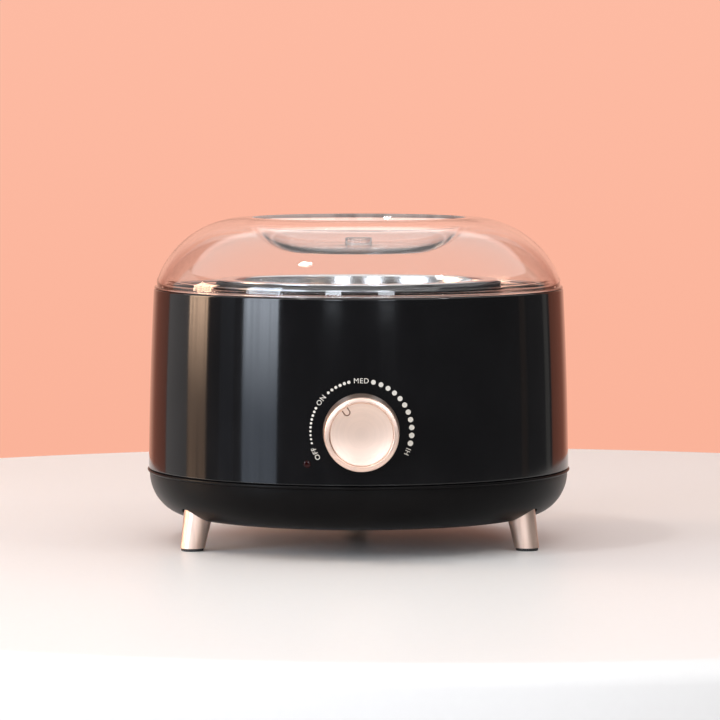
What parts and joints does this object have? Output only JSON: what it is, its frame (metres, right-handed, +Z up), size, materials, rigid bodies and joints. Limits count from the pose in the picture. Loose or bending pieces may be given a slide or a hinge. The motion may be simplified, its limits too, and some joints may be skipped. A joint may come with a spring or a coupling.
{
  "type": "wax warmer pot",
  "caption": "Round electric wax warmer with a lift-out metal pot, a clear dished lid, a front temperature knob and short splayed legs.",
  "frame": {"origin": "the drum's axis, at the height of the table that the feet stand on", "axes": "+Z up, front with the knob towards -Y, +X to the right seen from the front"},
  "size_m": [0.18, 0.1964, 0.138],
  "materials": {
    "gloss_black": "deep gloss",
    "satin_black": "semi-gloss",
    "deck_black": "gloss",
    "moulded_black": "fine moulded texture",
    "well_aluminium": "spun",
    "pot_aluminium": "spun and polished",
    "silicone": "soft matt",
    "clear_lid": "water-clear polish",
    "champagne_bright": "bright turned",
    "champagne_satin": "satin spun",
    "champagne_brushed": "brushed",
    "steel": "bright zinc",
    "brass": "turned",
    "copper": "drawn tube",
    "ceramic_white": "fine matt",
    "mica": "layered sheet",
    "fibre": "woven glass fibre",
    "shield_sheet": "rolled sheet",
    "dial_print": "screen print",
    "lens_red": "clear tinted",
    "lamp_glass": "clear",
    "lead_brown": "sleeved",
    "lead_red": "sleeved",
    "lead_white": "sleeved",
    "lead_blue": "sleeved",
    "foot_rubber": "soft matt"
  },
  "bodies": {
    "root": {"base_tray": "satin_black", "body_shell": "gloss_black", "deck_ring": "deck_black", "heating_well": "well_aluminium", "pot_gasket": "silicone", "thermostat": "ceramic_white", "thermostat_washer": "steel", "thermostat_nut": "steel", "dial_marks": "dial_print", "sensor_bulb": "copper", "sensor_clips": "steel", "capillary_tube": "copper", "heater_band": "mica", "heater_clamp": "steel", "clamp_screw": "steel", "insulation_sleeve": "fibre", "insulation_disc": "fibre", "heat_shield": "shield_sheet", "shield_standoffs": "brass", "shield_screws": "steel", "thermal_fuse": "brass", "fuse_clip": "steel", "terminal_block": "ceramic_white", "terminal_screws": "brass", "lead_supply": "lead_brown", "lead_heater": "lead_red", "lead_fuse": "lead_white", "lead_return": "lead_blue", "indicator_lens": "lens_red", "indicator_holder": "ceramic_white", "indicator_lamp": "lamp_glass", "cord_gland": "moulded_black", "gland_nut": "moulded_black", "leg_front_left": "champagne_brushed", "leg_front_right": "champagne_brushed", "leg_rear": "champagne_brushed", "foot_pad_front_left": "foot_rubber", "foot_pad_front_right": "foot_rubber", "foot_pad_rear": "foot_rubber", "leg_screws": "steel", "base_screws": "steel"},
    "knob": {"knob_shell": "champagne_bright", "knob_face": "champagne_satin", "knob_core": "moulded_black", "knob_spring": "steel", "thermostat_shaft": "steel"},
    "pot": {"wax_pot": "pot_aluminium"},
    "lid": {"lid": "clear_lid"}
  },
  "joints": [
    {"name": "knob_turn", "type": "hinge", "parent": "root", "child": "knob", "pos_m": [0, -0.0975, 0.054], "axis": [0, 1, 0], "range_deg": [-83, 147]},
    {"name": "pot_lift", "type": "slide", "parent": "root", "child": "pot", "axis": [0, 0, 1], "range_m": [0, 0.12]},
    {"name": "lid_lift", "type": "slide", "parent": "pot", "child": "lid", "axis": [0, 0, 1], "range_m": [0, 0.1]}
  ]
}
